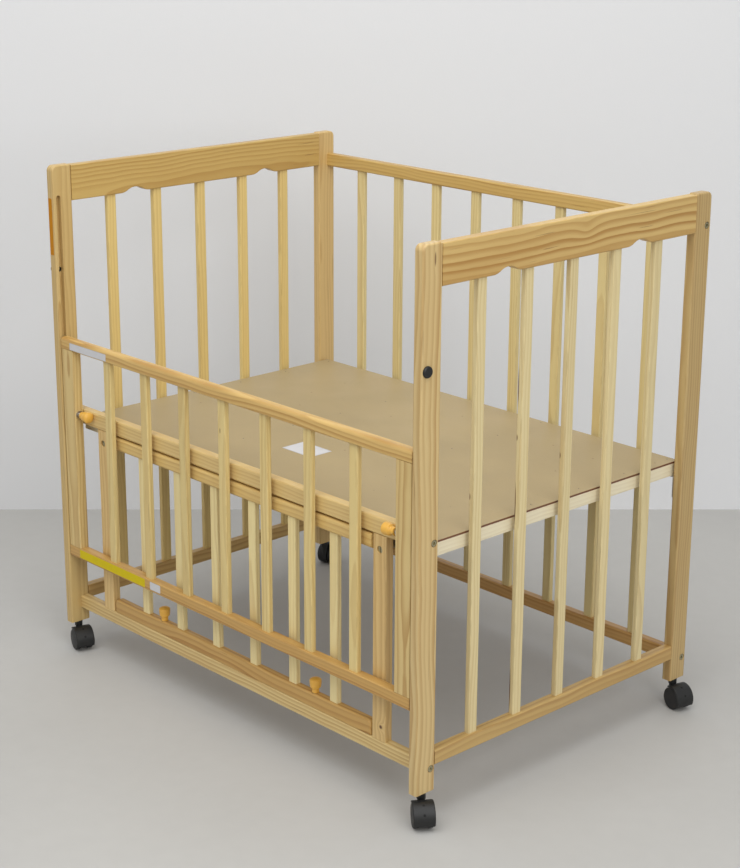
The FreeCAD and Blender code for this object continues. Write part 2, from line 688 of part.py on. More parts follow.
def plunger():
    """The right-hand plunger's knob and pin, with the tip on the floor of the groove."""
    neck_x = STILE_INNER - PLUNGER_FLANGE - PLUNGER_STANDOFF
    tip_x = INNER + GROOVE_DEEP - GROOVE_END_GAP
    return knob_and_pin((neck_x, GATE_Y, PLUNGER_Z), -X, tip_x - neck_x)


# ---- Hinged door ----

def door_top_rail(slats):
    bar = block((-DOOR_HALF, DOOR_HALF), (RAIL_FRONT, RAIL_FRONT + RAIL_THICK), DOOR_TOP)
    return pierced(eased(bar, X, DOOR_TOP_EDGE), slats + pivot_pins())


def pivot_pins():
    length = PIVOT_IN_DOOR + DOOR_SIDE_GAP + PIVOT_IN_JAMB
    return both_sides(rod((DOOR_HALF - PIVOT_IN_DOOR, DOOR_Y, DOOR_AXIS_Z), X, PIVOT_RADIUS, length))


def door_slats():
    reach = (DOOR_BEAM[1], DOOR_TOP[0])
    return [upright_slat(x, DOOR_Y, reach, SLAT_WIDE, SLAT_THICK) for x in between(DOOR_SLATS, DOOR_HALF)]


def door_beam(slats):
    """The door's bottom beam, with bores and recesses for its lift pins."""
    bar = block((-DOOR_HALF, DOOR_HALF), about(DOOR_Y, DOOR_BEAM_THICK), DOOR_BEAM)
    corners = [edge for edge in along(bar, Y) if edge.BoundBox.ZMin > DOOR_BEAM[1] - TINY]
    bar = bar.makeFillet(DOOR_BEAM_CORNER, corners)
    rims = [edge for edge in bar.Edges if edge.BoundBox.YLength < TINY]
    bar = bar.makeFillet(DOOR_BEAM_EDGE, [edge for edge in rims if edge.BoundBox.ZMax > DOOR_BEAM[0] + TINY])
    bore = rod((LIFT_PIN_X, DOOR_Y, DOOR_BEAM[0]), Z, PIN_RADIUS + RUNNING_FIT, DOOR_BEAM_HEIGHT)
    recess_z = DOOR_BEAM[1] - LIFT_TRAVEL - GROOVE_END_GAP
    recess = rod((LIFT_PIN_X, DOOR_Y, recess_z), Z, KNOB_NECK_RADIUS + LOOSE_FIT, DOOR_BEAM_HEIGHT)
    return pierced(bar, slats + both_sides(bore.fuse(recess)))


def lift_pin():
    """The right-hand lift pin's knob and pin, drawn up clear of the front bottom rail."""
    return knob_and_pin((LIFT_PIN_X, DOOR_Y, DOOR_BEAM[1]), Z, DOOR_BEAM_HEIGHT - GROOVE_END_GAP)


# ---- Casters, built with the swivel on Z and the trail along +X ----

def wheel():
    """One wheel of the pair, with a crowned tread, a closed domed face and a blind bore."""
    outer = TWIN_WIDTH / 2
    inner, rim, bore = outer - WHEEL_WIDTH, outer - WHEEL_DOME, outer - AXLE_COVER
    tread = WHEEL_RADIUS - WHEEL_CROWN
    outline = straight([
        (0, outer), (0, bore), (AXLE_RADIUS, bore), (AXLE_RADIUS, inner), (tread, inner),
        (WHEEL_RADIUS, inner + WHEEL_CROWN), (WHEEL_RADIUS, rim - WHEEL_CROWN), (tread, rim),
    ])
    outline.append(leaving(Vector(0, 0, outer), X, Vector(tread, 0, rim)))
    return placed(turned(outline), (CASTER_TRAIL, 0, WHEEL_RADIUS), Y)


def wheel_pair():
    first = wheel()
    return [first, first.mirror(Vector(0, 0, 0), Y)]


def axle():
    length = TWIN_WIDTH - 2 * AXLE_COVER
    return rod((CASTER_TRAIL, -length / 2, WHEEL_RADIUS), Y, AXLE_RADIUS, length)


def hood():
    """The curved cover over both wheels, with eased outer edges."""
    low = WHEEL_RADIUS + HOOD_GAP
    high = low + HOOD_THICK
    side = TWIN_WIDTH / 2
    corners = [(-side, low), (side, low), (side, high - HOOD_EDGE), (side - HOOD_EDGE, high)]
    corners += [(HOOD_EDGE - side, high), (-side, high - HOOD_EDGE)]
    points = [Vector(CASTER_TRAIL + radius, across, WHEEL_RADIUS) for across, radius in corners]
    face = Part.Face(Part.makePolygon(points + points[:1]))
    axis = Vector(CASTER_TRAIL, 0, WHEEL_RADIUS)
    face.rotate(axis, -Y, HOOD_START)
    return face.revolve(axis, -Y, HOOD_SWEEP)


def caster_body():
    """The core between the wheels, the collared boss for the stem and the hood, in one moulding."""
    width = TWIN_WIDTH - 2 * WHEEL_WIDTH - 2 * WHEEL_GAP
    axis = Vector(CASTER_TRAIL, -width / 2, WHEEL_RADIUS)
    core = Part.makeCylinder(CORE_RADIUS, width, axis, Y)
    web = Part.makeCylinder(WHEEL_RADIUS + HOOD_GAP + HOOD_THICK / 2, width, axis, Y, WEB_SWEEP)
    web.rotate(axis, Y, -HOOD_START - WEB_SWEEP)
    top = CASTER_HEIGHT - SOCKET_FLANGE - CASTER_TOP_GAP
    boss = rod((0, 0, WHEEL_RADIUS), Z, BOSS_RADIUS, top - WHEEL_RADIUS)
    collar = rod((0, 0, COLLAR_RISE), Z, COLLAR_RADIUS, top - COLLAR_RISE)
    solid = core.fuse([web, boss, collar, hood()]).removeSplitter()
    stem_hole = rod((0, 0, top - STEM_LENGTH / 2), Z, STEM_RADIUS, STEM_LENGTH)
    axle_hole = rod((CASTER_TRAIL, -width, WHEEL_RADIUS), Y, AXLE_RADIUS + RUNNING_FIT, 2 * width)
    return solid.cut([stem_hole, axle_hole])


def caster_stem():
    top = CASTER_HEIGHT - SOCKET_FLANGE - CASTER_TOP_GAP
    start = top - STEM_LENGTH / 2
    return rod((0, 0, start), Z, STEM_RADIUS, FOOT + STEM_LENGTH - PIN_TIP - start)


def on_caster(shape, corner):
    """A caster's piece turned to its trail and moved below its post."""
    side = 1 if corner.startswith("right") else -1
    y = BACK - CASTER_Y if corner.endswith("back") else FRONT + CASTER_Y
    moved = shape.copy()
    turn = FreeCAD.Rotation(Z, CASTER_ANGLES[corner])
    moved.Placement = FreeCAD.Placement(Vector(side * POST_X, y, 0), turn).multiply(shape.Placement)
    return moved


# ---- The whole crib ----

def end_panel_nodes():
    post, rear = front_post(), back_post()
    slats = end_slats()
    top_rail = pierced(end_top_rail(), slats + end_dowels())
    return {
        "left_front_post": [other_side(post)],
        "right_front_post": [post],
        "left_back_post": [other_side(rear)],
        "right_back_post": [rear],
        "left_top_rail": [other_side(top_rail)],
        "right_top_rail": [top_rail],
        "end_bottom_rails": both_sides(end_foot_rail()),
        "left_end_slats": [other_side(slat) for slat in slats],
        "right_end_slats": slats,
        "frame_dowels": [side for dowel in end_dowels() + [jamb_dowel()] for side in both_sides(dowel)],
        "caster_sockets": both_sides(caster_socket()) + both_sides(to_back(caster_socket())),
        "catch_bushes": both_sides(catch_bush()),
    }


def fixed_panel_nodes():
    slats = back_slats()
    front_y = (RAIL_FRONT, RAIL_FRONT + RAIL_THICK)
    foot_rail = long_rail(front_y, FOOT_RAIL, both_sides(jamb_dowel()) + lift_sockets(), ["front_foot"])
    screws = [side for one in bracket_screws() for side in both_sides(at_front(one))]
    studs = both_sides(JAMB_JOINT.bolt)
    return {
        "back_top_rail": [long_rail(BACK_RAIL_Y, BACK_TOP_RAIL, slats, ["back_top"])],
        "back_bottom_rail": [long_rail(BACK_RAIL_Y, FOOT_RAIL, slats, ["back_foot"])],
        "back_slats": slats,
        "front_middle_rail": [long_rail(front_y, MID_RAIL, screws + studs, ["mid"])],
        "front_bottom_rail": [foot_rail],
        "door_jambs": both_sides(jamb()),
        "frame_bolts": [side for joint in JOINTS.values() for side in both_sides(joint.bolt)],
        "jamb_studs": studs,
        "barrel_nuts": [side for joint in [*JOINTS.values(), JAMB_JOINT] for side in both_sides(joint.nut)],
    }


def bed_nodes():
    return {
        "bed_board": [bed_board()],
        "bed_long_rails": bed_long_rails(),
        "bed_cross_rails": bed_cross_rails(),
        "bed_brackets": on_all_seats(pierced(bracket(), bracket_screws())),
        "bracket_screws": [copy for one in bracket_screws() for copy in on_all_seats(one)],
    }


def gate_nodes():
    slats = gate_slats()
    knob_solid, pin_solid = plunger()
    foot = (GATE_FOOT, GATE_FOOT + GATE_RAIL_HEIGHT)
    top = (GATE_TOP - GATE_RAIL_HEIGHT, GATE_TOP)
    return {
        "gate_top_rail": [gate_rail(top, GATE_TOP_EDGE, slats)],
        "gate_bottom_rail": [gate_rail(foot, GATE_EDGE, slats)],
        "gate_stiles": both_sides(stile()),
        "gate_slats": slats,
        "gate_guide_pins": guide_pins(),
        "plunger_bushes": both_sides(plunger_bush()),
        "right_plunger_knob": [knob_solid],
        "right_plunger_pin": [pin_solid],
        "left_plunger_knob": [other_side(knob_solid)],
        "left_plunger_pin": [other_side(pin_solid)],
    }


def door_nodes():
    slats = door_slats()
    knob_solid, pin_solid = lift_pin()
    return {
        "door_top_rail": [door_top_rail(slats)],
        "door_bottom_beam": [door_beam(slats)],
        "door_slats": slats,
        "door_pivot_pins": pivot_pins(),
        "right_lift_knob": [knob_solid],
        "right_lift_pin": [pin_solid],
        "left_lift_knob": [other_side(knob_solid)],
        "left_lift_pin": [other_side(pin_solid)],
    }


def caster_nodes():
    pieces = {"body": [caster_body()], "stem": [caster_stem()], "wheels": wheel_pair(), "axle": [axle()]}
    nodes = {}
    for corner in CASTER_ANGLES:
        for name, solids in pieces.items():
            nodes[corner + "_caster_" + name] = [on_caster(solid, corner) for solid in solids]
    return nodes


def main():
    os.makedirs("parts", exist_ok=True)
    nodes = {}
    for group in (end_panel_nodes, fixed_panel_nodes, bed_nodes, gate_nodes, door_nodes, caster_nodes):
        nodes.update(group())
    for name, solids in nodes.items():
        shape = solids[0] if len(solids) == 1 else Part.makeCompound(solids)
        shape.exportStep("parts/" + name + ".step")


main()
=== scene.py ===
import math

import bmesh
import bpy
from mathutils import Matrix, Vector


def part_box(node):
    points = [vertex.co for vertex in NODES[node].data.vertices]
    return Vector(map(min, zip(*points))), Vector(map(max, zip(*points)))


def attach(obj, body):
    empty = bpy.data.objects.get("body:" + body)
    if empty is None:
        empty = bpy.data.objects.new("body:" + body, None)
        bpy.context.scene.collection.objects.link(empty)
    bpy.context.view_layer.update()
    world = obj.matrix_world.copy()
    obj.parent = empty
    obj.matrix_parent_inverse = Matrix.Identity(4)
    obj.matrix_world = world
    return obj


bl_info = {
    "name": "Baby crib finishes",
    "version": (1, 0, 0),
    "blender": (4, 5, 0),
    "location": "View3D > Sidebar > Crib",
    "description": "Dresses a drop-side baby crib in lacquered pine, hardboard, plastic and zinc, on a pale floor",
    "category": "Object",
}

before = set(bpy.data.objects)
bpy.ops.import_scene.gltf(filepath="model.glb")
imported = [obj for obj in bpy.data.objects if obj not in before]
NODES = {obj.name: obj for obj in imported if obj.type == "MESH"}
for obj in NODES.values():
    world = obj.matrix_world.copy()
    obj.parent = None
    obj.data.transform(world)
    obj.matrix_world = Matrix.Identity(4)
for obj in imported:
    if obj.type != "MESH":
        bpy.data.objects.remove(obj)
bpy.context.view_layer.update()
AXES = {"X": 0, "Y": 1, "Z": 2}

# Widths of pieces that come several to a node, and the number of cross rails under the board
SLAT = 0.019
END_RAIL = 0.018
STILE = 0.034
JAMB = 0.030
LONG_RAIL = 0.020
CROSS_RAIL = 0.030
CROSS_RAILS = 4

# Splits up the inner front edges of the right-hand slats: the edges' X, how far a split's soft side and its
# dark core reach, and the Y, Z and half length of each
SPLIT_X = 0.4572
SPLIT_REACH = 0.0024
SPLIT_CORE = 0.0018
SPLITS = ((-0.1112, 0.663, 0.031), (-0.1112, 0.582, 0.005), (-0.1112, 0.473, 0.034), (-0.1112, 0.160, 0.040),
          (-0.0092, 0.531, 0.005), (-0.2132, 0.510, 0.005))

# Bed board: its dark spots' radius, the X and Y of each, and how far below its face its sawn edges' colour
# begins and is full
SPOT = 0.0020
BOARD_SPOTS = ((0.026, -0.075), (0.347, 0.109), (-0.067, 0.124), (-0.372, -0.078), (0.345, 0.207), (-0.284, 0.121),
               (0.020, 0.222), (0.250, 0.213), (-0.290, 0.213), (-0.235, 0.049), (0.432, 0.266))
EDGE_COLOUR_DEPTHS = (0.0003, 0.0006)

# Brads in the bed board, in a row along each cross rail: a head's radius, and how far it stands proud
BRAD = 0.0012
BRAD_THICK = 0.0002
BRAD_SIDES = 20
BRADS_PER_RAIL = 6

# Labels: how thick they are, their round corners, and the share of a strip's gloss
LABEL_THICK = 0.0002
LABEL_CORNER = 0.0012
LABEL_CORNER_STEPS = 4
STRIP_SHINE = 0.15
BOARD_LABEL = ((-0.058, -0.146), (0.016, -0.096))
BOARD_LABEL_RIM = 0.0018
# Each label on the gate: its rail, its two ends along X, what it leaves free below and above it, and its rim
GATE_LABELS = {
    "gate_label": ("gate_top_rail", (-0.424, -0.314), 0.0020, 0.0062, 0.0008),
    "gate_strip": ("gate_bottom_rail", (-0.419, -0.220), 0.0030, 0.0024, 0.0010),
    "gate_tag": ("gate_bottom_rail", (-0.205, -0.175), 0.0040, 0.0024, 0.0006),
}
# The post's strip: its two sides from the post's outer face, its lower and upper end from the post's top, its rim
POST_STRIP_SIDES = (0.0032, 0.0132)
POST_STRIP_ENDS = (0.159, 0.058)
POST_STRIP_RIM = 0.0008

# Casters: how far each is turned about its stem, and the two recesses in its hood, sunk by a bump and darkened
# with painted shade, by their radius, their distance from the axle and their angles above it
CASTER_TURNS = {"left_front": -16.1, "left_back": 109.0, "right_front": -35.6, "right_back": -14.3}
RECESS = 0.0032
RECESS_DISTANCE = 0.0215
RECESS_ANGLES = (66.0, 25.3)

# Stage: the floor and wall, the room's light, and each lamp's size and place
FLOOR_SIZE = 60.0
WALL_SIZE = 16.0
ROOM_COLOUR = (1.0, 0.99, 0.97, 1.0)
LAMPS = {"overhead": (2.6, (0.6, -1.1, 2.9)), "side": (1.8, (3.2, -0.9, 1.9))}
LAMP_AIM = (0, 0, 0.45)

# How near to along a direction an edge is, and how near to facing it a face is, to be picked for it
ALONG = 0.01
FACING = 0.9


# ---- Shader helpers ----

class Value:
    """A node's output, on which Python arithmetic adds Math nodes."""

    def __init__(self, graph, socket):
        self.graph = graph
        self.socket = socket

    def __add__(self, other):
        return self.graph.math("ADD", self, other)

    __radd__ = __add__

    def __mul__(self, other):
        return self.graph.math("MULTIPLY", self, other)

    __rmul__ = __mul__

    def __sub__(self, other):
        return self.graph.math("SUBTRACT", self, other)

    def __rsub__(self, other):
        return self.graph.math("SUBTRACT", other, self)

    def __truediv__(self, other):
        return self.graph.math("DIVIDE", self, other)

    def __rtruediv__(self, other):
        return self.graph.math("DIVIDE", other, self)

    def __pow__(self, other):
        return self.graph.math("POWER", self, other)

    def root(self):
        """The square root."""
        return self.graph.math("SQRT", self)

    def whole(self):
        """The nearest whole number."""
        return self.graph.math("ROUND", self)

    def fraction(self):
        """What is past the last whole number."""
        return self.graph.math("FRACT", self)

    def size(self):
        """The number without its sign."""
        return self.graph.math("ABSOLUTE", self)

    def step(self, low, high):
        """0 below low, 1 above high and smooth between them; it falls instead where low is above high."""
        if low > high:
            return 1 - self.step(high, low)
        inputs = {"Value": self, "From Min": low, "From Max": high}
        return self.graph.add("ShaderNodeMapRange", {"interpolation_type": "SMOOTHSTEP"}, inputs)


class Pattern:
    """A noise in the wood: how fine it is along the grain and across it, and between which values it fades in."""

    def __init__(self, along, across, fade=None, detail=2.0):
        self.along = along
        self.across = across
        self.fade = fade
        self.detail = detail


class Graph:
    """A material's node tree, with one Principled shader."""

    def __init__(self, name):
        self.material = bpy.data.materials.new(name)
        self.material.use_nodes = True
        self.tree = self.material.node_tree
        self.shader = self.tree.nodes["Principled BSDF"]

    def feed(self, socket, value):
        """Links another node's value to a socket, or sets a plain one on it."""
        if isinstance(value, Value):
            self.tree.links.new(value.socket, socket)
        else:
            socket.default_value = value

    def add(self, kind, settings=None, inputs=None, output=0):
        """A node of a type, with its settings made first and then its sockets filled."""
        node = self.tree.nodes.new(kind)
        for name, value in (settings or {}).items():
            setattr(node, name, value)
        for name, value in (inputs or {}).items():
            self.feed(node.inputs[name], value)
        return Value(self, node.outputs[output])

    def math(self, operation, first, second=None):
        """A Math node on one or two numbers."""
        node_inputs = {0: first} if second is None else {0: first, 1: second}
        return self.add("ShaderNodeMath", {"operation": operation}, node_inputs)

    def parts(self, triple):
        """The three numbers of a vector or colour."""
        node = self.tree.nodes.new("ShaderNodeSeparateXYZ")
        self.feed(node.inputs[0], triple)
        return [Value(self, node.outputs[axis]) for axis in range(3)]

    def place(self):
        """The three Object coordinates, in metres."""
        return self.parts(self.add("ShaderNodeTexCoord", output="Object"))

    def vector(self, x, y, z):
        """A vector of three numbers."""
        return self.add("ShaderNodeCombineXYZ", inputs={0: x, 1: y, 2: z})

    def noise(self, x, y, z, detail=2.0):
        """Smooth noise from 0 to 1, with its scale in the coordinates. A plain number only sets its pattern apart."""
        inputs = {"Vector": self.vector(x, y, z), "Scale": 1.0, "Detail": detail}
        return self.add("ShaderNodeTexNoise", inputs=inputs)

    def grit(self, place, fineness, detail=2.0):
        """Smooth noise that is as fine in all directions."""
        x, y, z = place
        return self.noise(x * fineness, y * fineness, z * fineness, detail)

    def streaks(self, wood, pattern, ahead=None, aside=None):
        """A pattern's noise in the wood, moved ahead along the grain or aside across it."""
        grain, u, v = wood
        grain, u, v = grain * pattern.along, u * pattern.across, v * pattern.across
        if ahead is not None:
            grain = grain + ahead
        if aside is not None:
            v = v + aside
        return self.noise(grain, u, v, pattern.detail)

    def random(self, *numbers):
        """Three unrelated numbers from 0 to 1 for each set of whole numbers."""
        return self.parts(self.add("ShaderNodeTexWhiteNoise", inputs={"Vector": self.vector(*numbers)},
                                   output="Color"))

    def mix(self, factor, first, second):
        """A blend of two colours, each of three parts or another node's."""
        first, second = (end if isinstance(end, Value) else (*end, 1.0) for end in (first, second))
        return self.add("ShaderNodeMix", {"data_type": "RGBA"}, {0: factor, 6: first, 7: second}, output=2)

    def scale(self, colour, factor):
        """A colour made lighter or darker by a factor."""
        return self.add("ShaderNodeVectorMath", {"operation": "SCALE"}, {0: colour, "Scale": factor})

    def bump(self, height, distance, strength=1.0):
        """A normal for small relief, of a depth in metres."""
        return self.add("ShaderNodeBump", inputs={"Height": height, "Distance": distance, "Strength": strength})

    def finish(self, **sockets):
        """Fills the shader's sockets, named with underscores for spaces, and returns the material."""
        for name, value in sockets.items():
            self.feed(self.shader.inputs[name.replace("_", " ")], value)
        return self.material


# ---- Sizes and colours ----

def colour_prop(name, description, default):
    """A colour, as linear red, green and blue."""
    return bpy.props.FloatVectorProperty(name=name, description=description, default=default, subtype="COLOR",
                                         size=3, min=0.0, max=1.0)


def length_prop(name, description, default):
    """A length in metres."""
    return bpy.props.FloatProperty(name=name, description=description, default=default, unit="LENGTH", min=0.0)


def number_prop(name, description, default):
    """A number from 0 up."""
    return bpy.props.FloatProperty(name=name, description=description, default=default, min=0.0)


def angle_prop(name, description, degrees):
    """An angle, given in degrees."""
    return bpy.props.FloatProperty(name=name, description=description, default=math.radians(degrees), unit="ROTATION")


def place_prop(name, description, default):
    """A point in metres."""
    return bpy.props.FloatVectorProperty(name=name, description=description, default=default, subtype="XYZ",
                                         unit="LENGTH", size=3)


class CribWoodSettings(bpy.types.PropertyGroup):
    """Colours and figure of the pine and the hardboard"""
    early: colour_prop("Early wood", "Pale part of each growth ring", (0.640, 0.450, 0.205))
    late: colour_prop("Late wood", "Dark part of each growth ring", (0.410, 0.220, 0.065))
    knot: colour_prop("Knot", "Heart of a knot, streak or split", (0.130, 0.055, 0.018))
    raw: colour_prop("Raw pine", "Unlacquered wood of the bed's frame", (0.760, 0.690, 0.500))
    board: colour_prop("Hardboard", "Face of the bed board", (0.390, 0.300, 0.156))
    board_edge: colour_prop("Board's edge", "Sawn edges of the bed board", (0.150, 0.055, 0.028))
    ring: length_prop("Ring spacing", "Width of one growth ring", 0.0062)
    wander: length_prop("Wander", "How far the heart of the tree wanders along a piece", 0.034)
    ring_dark: number_prop("Ring depth", "How much the late wood darkens a ring", 0.95)
    tone_dark: number_prop("Tone depth", "How much the broad patches darken the wood", 0.35)
    fleck_dark: number_prop("Fleck depth", "How much the resin flecks show", 0.20)
    scratch_dark: number_prop("Scratch depth", "How much the scratches show", 0.45)
    spot_dark: number_prop("Spot depth", "How much the spots on the board show", 0.55)
    roughness: number_prop("Roughness", "Roughness of the lacquer", 0.40)
    coat: number_prop("Coat", "Weight of the lacquer's clear coat", 0.12)


class CribFittingSettings(bpy.types.PropertyGroup):
    """Colours of the plastic and the steel"""
    knob: colour_prop("Knob", "Yellow plastic of the knobs", (0.780, 0.430, 0.068))
    black: colour_prop("Black plastic", "Casters and bushes", (0.0085, 0.0090, 0.0092))
    tread: colour_prop("Tread", "Wheels of the casters", (0.012, 0.012, 0.013))
    zinc: colour_prop("Zinc", "Pins, studs, screws and brackets", (0.560, 0.550, 0.520))
    passivated: colour_prop("Yellow zinc", "Bolts and barrel nuts", (0.470, 0.430, 0.280))
    brad: colour_prop("Brad", "Heads of the brads in the bed board", (0.210, 0.190, 0.160))


class CribLabelSettings(bpy.types.PropertyGroup):
    """Colours of the blank labels"""
    paper: colour_prop("Paper", "Blank face of the white labels", (0.630, 0.630, 0.650))
    margin: colour_prop("Margin", "Soft grey margin of the white labels", (0.520, 0.530, 0.560))
    yellow: colour_prop("Yellow", "Blank yellow strip on the gate's bottom rail", (0.660, 0.520, 0.006))
    orange: colour_prop("Orange", "Blank strip on the front post", (0.530, 0.210, 0.005))


class CribStageSettings(bpy.types.PropertyGroup):
    """Floor, wall, camera and lamps"""
    floor: colour_prop("Floor", "Floor under the crib", (0.485, 0.480, 0.462))
    wall: colour_prop("Wall", "Plain wall behind the crib", (0.740, 0.750, 0.770))
    camera: place_prop("Camera", "Place of the camera", (2.2977, -2.1463, 1.4363))
    azimuth: angle_prop("Azimuth", "Turn of the camera about the crib", 46.835)
    elevation: angle_prop("Elevation", "How far the camera looks down", 17.265)
    roll: angle_prop("Roll", "Tilt of the camera", 0.283)
    lens: number_prop("Lens", "Focal length in millimetres", 77.49)
    wall_foot: place_prop("Wall foot", "A point on the line of wall and floor", (-0.630, 0.636, 0.0))
    wall_turn: angle_prop("Wall turn", "Turn of the wall about the vertical", 47.68)
    overhead: number_prop("Overhead lamp", "Power of the large lamp above, in watts", 53.0)
    side: number_prop("Side lamp", "Power of the soft lamp at the right, in watts", 31.0)
    sky: number_prop("Room light", "Strength of the even light of the room", 0.60)


# ---- Finishes ----

# Noises in the wood, and how near to a long edge it wears
FIBRE = Pattern(along=22, across=900)
TONE = Pattern(along=2.0, across=14, fade=(0.40, 0.80))
FLECKS = Pattern(along=55, across=1500, fade=(0.70, 0.80), detail=1.0)
SCRATCHES = Pattern(along=9, across=420, fade=(0.755, 0.785), detail=1.0)
WEAR = Pattern(along=30, across=200, fade=(0.42, 0.62), detail=4.0)
WORN_EDGE = (-0.0026, -0.0004)

# Growth rings: how far they wobble and sway, how the tree's heart lies beside and below a piece and how fast it
# drifts along it, how uneven the rings are and how faint the faintest is, what keeps the numbers of copies and
# pieces apart, and where in a ring the late wood is
WOBBLE = Pattern(along=14, across=60)
WOBBLE_SIZE = 0.0022
SWAY = Pattern(along=4.5, across=9)
SWAY_SIZE = 0.010
HEART_BESIDE = 0.09
HEART_BELOW = (0.012, 0.05)
DRIFT = 1.7
UNEVEN_FINENESS = 0.7
UNEVEN_SIZE = 0.8
FAINTEST_RING = 0.35
PATTERNS_APART = 50
SEEDS_APART = 31
LATE_START = (0.20, 0.92)
LATE_END = (1.0, 0.90)


class Mark:
    """A knot, resin streak or split in the wood, at a place in metres and drawn out along the grain.

    heart is how dark it is, and swirl by how many rings it pushes the others aside.
    """

    fade = (1.0, 0.45)

    def __init__(self, place, radius, stretch=1.0, heart=1.0, swirl=0.0):
        self.place = place
        self.radius = radius
        self.stretch = stretch
        self.heart = heart
        self.swirl = swirl


class Piece:
    """How the pine of one CAD node runs and looks.

    grain is the axis of its fibres, figure the strength of its rings, and ring their share of the usual width.
    A node of several like pieces has their number, the axis that they are side by side on, and their width there.
    """

    def __init__(self, grain, seed, tint=(1.0, 1.0, 1.0), figure=0.6, ring=1.0, copies=1, across=None, width=0.0,
                 marks=()):
        self.grain = grain
        self.seed = seed
        self.tint = tint
        self.figure = figure
        self.ring = ring
        self.copies = copies
        self.across = across
        self.width = width
        self.marks = marks

    def tinted(self, colour):
        return [channel * share for channel, share in zip(colour, self.tint)]


def split(y, z, half_length):
    """A thin dark split up the inner front edge of a right-hand slat."""
    return Mark((SPLIT_X, y, z), SPLIT_REACH, stretch=half_length / SPLIT_CORE)


PINE = {
    "left_front_post": Piece("Z", 1.0, (0.95, 0.97, 0.87)),
    "left_back_post": Piece("Z", 2.0, (0.95, 0.95, 0.87)),
    "right_front_post": Piece("Z", 3.0, (0.94, 0.99, 1.00), figure=0.9, ring=1.3, marks=[
        Mark((0.470, -0.307, 0.890), 0.0022, stretch=6.0, heart=0.75, swirl=0.6)]),
    "right_back_post": Piece("Z", 4.0, (0.76, 0.77, 0.72), figure=0.8),
    "left_top_rail": Piece("Y", 5.0, (0.85, 0.82, 0.58), figure=0.75),
    "right_top_rail": Piece("Y", 6.0, (0.99, 0.97, 0.78), figure=1.2, ring=2.0, marks=[
        Mark((0.470, 0.020, 0.890), 0.016, stretch=1.5, heart=0.0, swirl=0.9)]),
    "end_bottom_rails": Piece("Y", 7.0, (0.85, 0.81, 0.65), figure=0.9, ring=1.3, copies=2, across="X",
                              width=END_RAIL),
    "left_end_slats": Piece("Z", 8.0, (1.14, 1.23, 1.05), figure=0.45, copies=5, across="Y", width=SLAT),
    "right_end_slats": Piece("Z", 9.0, (1.06, 1.26, 1.50), figure=0.45, copies=5, across="Y", width=SLAT,
                             marks=[split(*place) for place in SPLITS]),
    "back_top_rail": Piece("X", 10.0, (0.90, 0.87, 0.62), figure=1),
    "back_bottom_rail": Piece("X", 11.0, (0.86, 0.72, 0.52), figure=0.8),
    "back_slats": Piece("Z", 12.0, (1.09, 1.28, 1.36), figure=0.45, copies=8, across="X", width=SLAT),
    "front_middle_rail": Piece("X", 13.0, (1.15, 1.20, 1.10)),
    "front_bottom_rail": Piece("X", 14.0, (1.13, 1.22, 1.19), figure=0.9),
    "door_jambs": Piece("Z", 15.0, (1.11, 1.12, 1.04), copies=2, across="X", width=JAMB, marks=[
        Mark((0.3665, -0.3085, 0.126), 0.0042, swirl=3.0)]),
    "gate_top_rail": Piece("X", 16.0, (1.03, 0.98, 0.74), figure=0.9),
    "gate_bottom_rail": Piece("X", 17.0, (0.88, 0.76, 0.50), figure=0.9),
    "gate_stiles": Piece("Z", 18.0, (1.00, 1.06, 0.99), figure=0.9, copies=2, across="X", width=STILE),
    "gate_slats": Piece("Z", 19.0, (1.10, 1.23, 1.17), figure=0.5, copies=7, across="X", width=SLAT, marks=[
        Mark((-0.0030, -0.3255, 0.532), 0.0012, stretch=5.0)]),
    "door_top_rail": Piece("X", 20.0, (1.14, 1.14, 0.92)),
    "door_bottom_beam": Piece("X", 21.0, (0.91, 0.80, 0.54), figure=1.1),
    "door_slats": Piece("Z", 22.0, (1.30, 1.55, 1.72), figure=0.45, copies=6, across="X", width=SLAT),
}
RAW_PINE = {
    "bed_long_rails": Piece("X", 23.0, figure=0.3, copies=2, across="Y", width=LONG_RAIL),
    "bed_cross_rails": Piece("Y", 24.0, figure=0.3, copies=CROSS_RAILS, across="X", width=CROSS_RAIL),
    "frame_dowels": Piece("Y", 25.0, figure=0.3),
}


def local_place(graph, node, piece):
    """The place in each copy along and across the grain, the copy's half sizes across it, and its number."""
    low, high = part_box(node)
    place = graph.place()
    centre = (low + high) / 2
    half = (high - low) / 2
    index = piece.seed
    for axis in range(3):
        if piece.across and axis == AXES[piece.across]:
            half[axis] = piece.width / 2
            pitch = (high[axis] - low[axis] - piece.width) / (piece.copies - 1)
            steps = (place[axis] - centre[axis]) / pitch + (piece.copies - 1) / 2
            number = steps.whole()
            place[axis] = (steps - number) * pitch
            index = number + piece.seed * SEEDS_APART
        else:
            place[axis] = place[axis] - centre[axis]
    grain = place.pop(AXES[piece.grain])
    sides = [half[axis] for axis in range(3) if axis != AXES[piece.grain]]
    return [grain, *place], sides, index


def mark_fields(graph, piece):
    """How strong a piece's marks are at a point, for their dark hearts and for the rings that bend round them."""
    heart, swirl = 0.0, 0.0
    place = graph.place()
    for mark in piece.marks:
        away = [along - middle for along, middle in zip(place, mark.place)]
        away[AXES[piece.grain]] = away[AXES[piece.grain]] / mark.stretch
        reach = (away[0] ** 2 + away[1] ** 2 + away[2] ** 2).root() / mark.radius
        heart = heart + reach.step(*mark.fade) * mark.heart
        swirl = swirl + mark.swirl / (1 + reach ** 2)
    return heart, swirl


